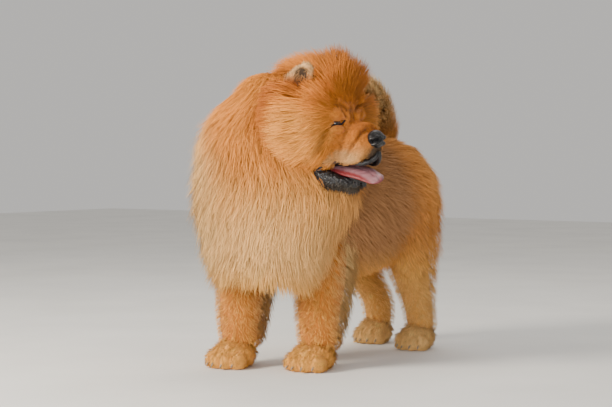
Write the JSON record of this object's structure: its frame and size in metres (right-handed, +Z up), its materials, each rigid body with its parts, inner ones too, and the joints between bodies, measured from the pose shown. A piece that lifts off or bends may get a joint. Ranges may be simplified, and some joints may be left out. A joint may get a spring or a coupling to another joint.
{
  "type": "chow chow",
  "caption": "Chow chow dog, standing four square with its head turned to its left and its mouth open, as a still life-size model.",
  "frame": {"origin": "on the floor plane at Z 0, under the middle of the box round the dog", "axes": "+Z up, -Y the way the chest faces, +X to the dog's left"},
  "size_m": [0.5218, 0.7681, 0.7182],
  "materials": {
    "coat_red": "long straight outer coat over a woolly one, matt",
    "coat_cream": "long straight outer coat over a woolly one, matt",
    "skin_black": "moist",
    "tongue_skin": "wet",
    "eye_dark": "wet and glossy"
  },
  "bodies": {
    "root": {"head": "coat_red", "lower_jaw": "skin_black", "tongue": "tongue_skin", "nose": "skin_black", "eye_left": "eye_dark", "eye_right": "eye_dark", "ear_left": "coat_red", "ear_right": "coat_red", "neck": "coat_cream", "torso": "coat_red", "tail": "coat_cream", "foreleg_left": "coat_red", "foreleg_right": "coat_red", "hindleg_left": "coat_red", "hindleg_right": "coat_red", "forepaw_left": "coat_red", "forepaw_right": "coat_red", "hindpaw_left": "coat_red", "hindpaw_right": "coat_red"}
  },
  "joints": []
}
